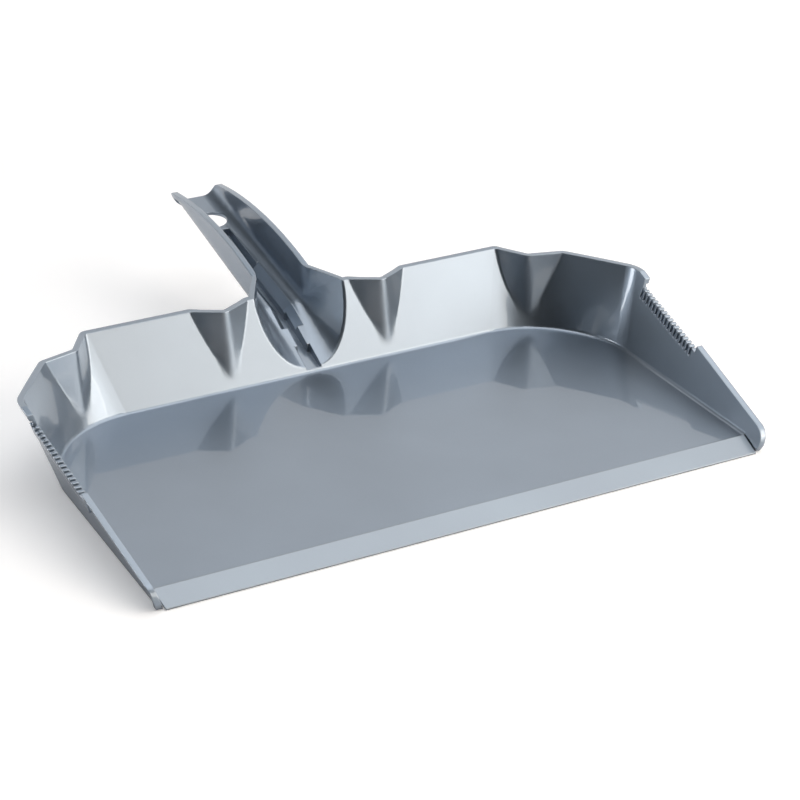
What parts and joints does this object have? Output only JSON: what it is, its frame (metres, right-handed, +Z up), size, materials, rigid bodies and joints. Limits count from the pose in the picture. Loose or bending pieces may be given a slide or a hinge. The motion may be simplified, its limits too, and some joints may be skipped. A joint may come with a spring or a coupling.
{
  "type": "dustpan",
  "caption": "Wide moulded dustpan with leaning fluted walls, combed side rims that clean a broom, a ramped front lip strip and a short open channel handle with a hang hole.",
  "frame": {"origin": "on the ground, in the middle of the overall width and of the overall length from lip to handle tip", "axes": "+X across the pan along the lip, +Y from the lip towards the handle, +Z up"},
  "size_m": [0.4454, 0.4222, 0.0727],
  "materials": {
    "pan": "glossy moulded, mid grey with a slight blue cast",
    "lip": "glossy moulded, a little lighter grey than the pan"
  },
  "bodies": {
    "root": {"pan_body": "pan", "front_lip": "lip"}
  },
  "joints": []
}
